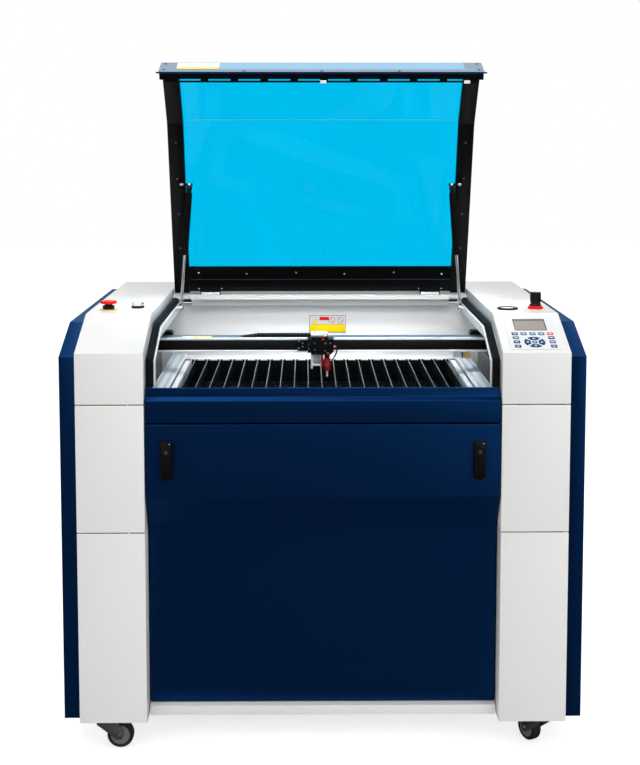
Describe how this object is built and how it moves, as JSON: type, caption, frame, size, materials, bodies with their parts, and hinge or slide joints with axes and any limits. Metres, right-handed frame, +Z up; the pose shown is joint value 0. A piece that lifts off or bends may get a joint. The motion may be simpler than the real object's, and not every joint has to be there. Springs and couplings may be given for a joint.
{
  "type": "laser engraver",
  "caption": "Floor-standing flatbed laser engraver on casters, with a lift table, X-Y gantry and tinted hinged lid, shown with the lid open.",
  "frame": {"origin": "on the floor, under the middle of the whole object", "axes": "+Z up, front faces -Y, +X to the right seen from the front"},
  "size_m": [1.2, 0.9584, 1.609],
  "materials": {
    "white_paint": "satin powder coat",
    "navy_paint": "semi-gloss powder coat",
    "grey_paint": "satin powder coat",
    "black_paint": "satin powder coat",
    "black_plastic": "fine texture",
    "seal_rubber": "matt",
    "tyre_rubber": "matt",
    "bare_aluminium": "brushed anodised",
    "zinc_steel": "zinc plated",
    "chrome": "polished",
    "red_anodised": "satin anodised",
    "red_plastic": "gloss",
    "yellow_plastic": "gloss",
    "silver_plastic": "gloss",
    "blue_acrylic": "polished tinted sheet",
    "tube_glass": "clear",
    "keypad_film": "satin film"
  },
  "bodies": {
    "root": {"base_frame": "white_paint", "rear_deck": "white_paint", "rear_crossbar": "white_paint", "cover_left_lower": "white_paint", "cover_left_middle": "white_paint", "cover_left_upper": "white_paint", "cover_right_lower": "white_paint", "cover_right_middle": "white_paint", "cover_right_upper": "white_paint", "chamber_wall_left": "white_paint", "chamber_wall_right": "white_paint", "side_panel_left": "navy_paint", "side_panel_right": "navy_paint", "front_apron": "navy_paint", "rear_panel": "navy_paint", "chamber_tub": "grey_paint", "tube_shelf": "grey_paint", "mains_inlet": "black_plastic", "start_ring": "black_plastic", "lid_seal_left": "seal_rubber", "lid_seal_right": "seal_rubber", "exhaust_collar": "bare_aluminium", "gantry_rail_left": "zinc_steel", "gantry_rail_right": "zinc_steel", "power_supply": "zinc_steel", "selector_collar": "red_plastic", "stop_base": "yellow_plastic", "laser_tube": "tube_glass", "control_panel": "keypad_film"},
    "lid": {"lid_frame": "black_paint", "lid_window": "blue_acrylic", "lid_hinge_left": "chrome", "lid_hinge_right": "chrome"},
    "strut_rod_left": {"strut_rod_left": "chrome"},
    "strut_rod_right": {"strut_rod_right": "chrome"},
    "strut_cylinder_left": {"strut_cylinder_left": "black_paint"},
    "strut_cylinder_right": {"strut_cylinder_right": "black_paint"},
    "door": {"front_door": "navy_paint"},
    "latch_left": {"door_latch_left": "black_plastic"},
    "latch_right": {"door_latch_right": "black_plastic"},
    "gantry": {"gantry_beam": "bare_aluminium", "gantry_end_left": "black_paint", "gantry_end_right": "black_paint"},
    "head": {"head_carriage": "black_paint", "mirror_bracket": "bare_aluminium"},
    "lens": {"lens_tube": "red_anodised", "focus_nozzle": "chrome"},
    "table": {"table_frame": "bare_aluminium", "blade_grid": "black_paint"},
    "stop_button": {"stop_head": "red_plastic"},
    "start_button": {"start_button": "silver_plastic"},
    "selector": {"selector_knob": "black_plastic"},
    "caster_front_left": {"caster_fork_front_left": "zinc_steel"},
    "wheel_front_left": {"caster_wheel_front_left": "tyre_rubber"},
    "caster_front_right": {"caster_fork_front_right": "zinc_steel"},
    "wheel_front_right": {"caster_wheel_front_right": "tyre_rubber"},
    "caster_rear_left": {"caster_fork_rear_left": "zinc_steel"},
    "wheel_rear_left": {"caster_wheel_rear_left": "tyre_rubber"},
    "caster_rear_right": {"caster_fork_rear_right": "zinc_steel"},
    "wheel_rear_right": {"caster_wheel_rear_right": "tyre_rubber"}
  },
  "joints": [
    {"name": "lid_hinge", "type": "hinge", "parent": "root", "child": "lid", "pos_m": [0, 0.2058, 0.997], "axis": [1, 0, 0], "range_deg": [0, 70]},
    {"name": "strut_left_swing", "type": "hinge", "parent": "root", "child": "strut_rod_left", "pos_m": [-0.37, 0.0888, 0.972], "axis": [1, 0, 0], "range_deg": [0, 87.26]},
    {"name": "strut_left_stroke", "type": "slide", "parent": "strut_rod_left", "child": "strut_cylinder_left", "axis": [0.0817, -0.0674, 0.9944], "range_m": [-0.1144, 0]},
    {"name": "strut_right_swing", "type": "hinge", "parent": "root", "child": "strut_rod_right", "pos_m": [0.37, 0.0888, 0.972], "axis": [1, 0, 0], "range_deg": [0, 87.26]},
    {"name": "strut_right_stroke", "type": "slide", "parent": "strut_rod_right", "child": "strut_cylinder_right", "axis": [-0.0817, -0.0674, 0.9944], "range_m": [-0.1144, 0]},
    {"name": "door_hinge", "type": "hinge", "parent": "root", "child": "door", "pos_m": [0, -0.4082, 0.11], "axis": [1, 0, 0], "range_deg": [0, 90]},
    {"name": "latch_left_lift", "type": "hinge", "parent": "door", "child": "latch_left", "pos_m": [-0.3545, -0.4666, 0.739], "axis": [-1, 0, 0], "range_deg": [0, 55], "stiffness_Nm_per_rad": 0.2},
    {"name": "latch_right_lift", "type": "hinge", "parent": "door", "child": "latch_right", "pos_m": [0.3545, -0.4666, 0.739], "axis": [-1, 0, 0], "range_deg": [0, 55], "stiffness_Nm_per_rad": 0.2},
    {"name": "gantry_travel", "type": "slide", "parent": "root", "child": "gantry", "axis": [0, 1, 0], "range_m": [-0.165, 0.275]},
    {"name": "head_travel", "type": "slide", "parent": "gantry", "child": "head", "axis": [1, 0, 0], "range_m": [-0.33, 0.32]},
    {"name": "lens_focus", "type": "slide", "parent": "head", "child": "lens", "axis": [0, 0, 1], "range_m": [0, 0.012]},
    {"name": "table_lift", "type": "slide", "parent": "root", "child": "table", "axis": [0, 0, 1], "range_m": [-0.2, 0]},
    {"name": "stop_press", "type": "slide", "parent": "root", "child": "stop_button", "axis": [0, 0, -1], "range_m": [0, 0.004], "stiffness_N_per_m": 800},
    {"name": "start_press", "type": "slide", "parent": "root", "child": "start_button", "axis": [0, 0, -1], "range_m": [0, 0.002], "stiffness_N_per_m": 400},
    {"name": "selector_turn", "type": "hinge", "parent": "root", "child": "selector", "pos_m": [0.52, -0.2092, 1.015], "axis": [0, 0, 1], "range_deg": [-90, 0]},
    {"name": "swivel_front_left", "type": "hinge", "parent": "root", "child": "caster_front_left", "pos_m": [-0.508, -0.4082, 0.07], "axis": [0, 0, 1], "continuous": true},
    {"name": "roll_front_left", "type": "hinge", "parent": "caster_front_left", "child": "wheel_front_left", "pos_m": [-0.474, -0.4082, 0.031], "axis": [0, 1, 0], "continuous": true},
    {"name": "swivel_front_right", "type": "hinge", "parent": "root", "child": "caster_front_right", "pos_m": [0.508, -0.4082, 0.07], "axis": [0, 0, 1], "continuous": true},
    {"name": "roll_front_right", "type": "hinge", "parent": "caster_front_right", "child": "wheel_front_right", "pos_m": [0.491, -0.37876, 0.031], "axis": [-0.866, -0.5, 0], "continuous": true},
    {"name": "swivel_rear_left", "type": "hinge", "parent": "root", "child": "caster_rear_left", "pos_m": [-0.508, 0.3688, 0.07], "axis": [0, 0, 1], "continuous": true},
    {"name": "roll_rear_left", "type": "hinge", "parent": "caster_rear_left", "child": "wheel_rear_left", "pos_m": [-0.47605, 0.38043, 0.031], "axis": [-0.342, 0.9397, 0], "continuous": true},
    {"name": "swivel_rear_right", "type": "hinge", "parent": "root", "child": "caster_rear_right", "pos_m": [0.508, 0.3688, 0.07], "axis": [0, 0, 1], "continuous": true},
    {"name": "roll_rear_right", "type": "hinge", "parent": "caster_rear_right", "child": "wheel_rear_right", "pos_m": [0.47605, 0.38043, 0.031], "axis": [-0.342, -0.9397, 0], "continuous": true}
  ],
  "couplings": [
    {"joint": "strut_left_swing", "follows": "lid_hinge", "ratio": 1.2379},
    {"joint": "strut_left_stroke", "follows": "lid_hinge", "m_per_rad": -0.092841},
    {"joint": "strut_right_swing", "follows": "lid_hinge", "ratio": 1.2379},
    {"joint": "strut_right_stroke", "follows": "lid_hinge", "m_per_rad": -0.092841}
  ]
}
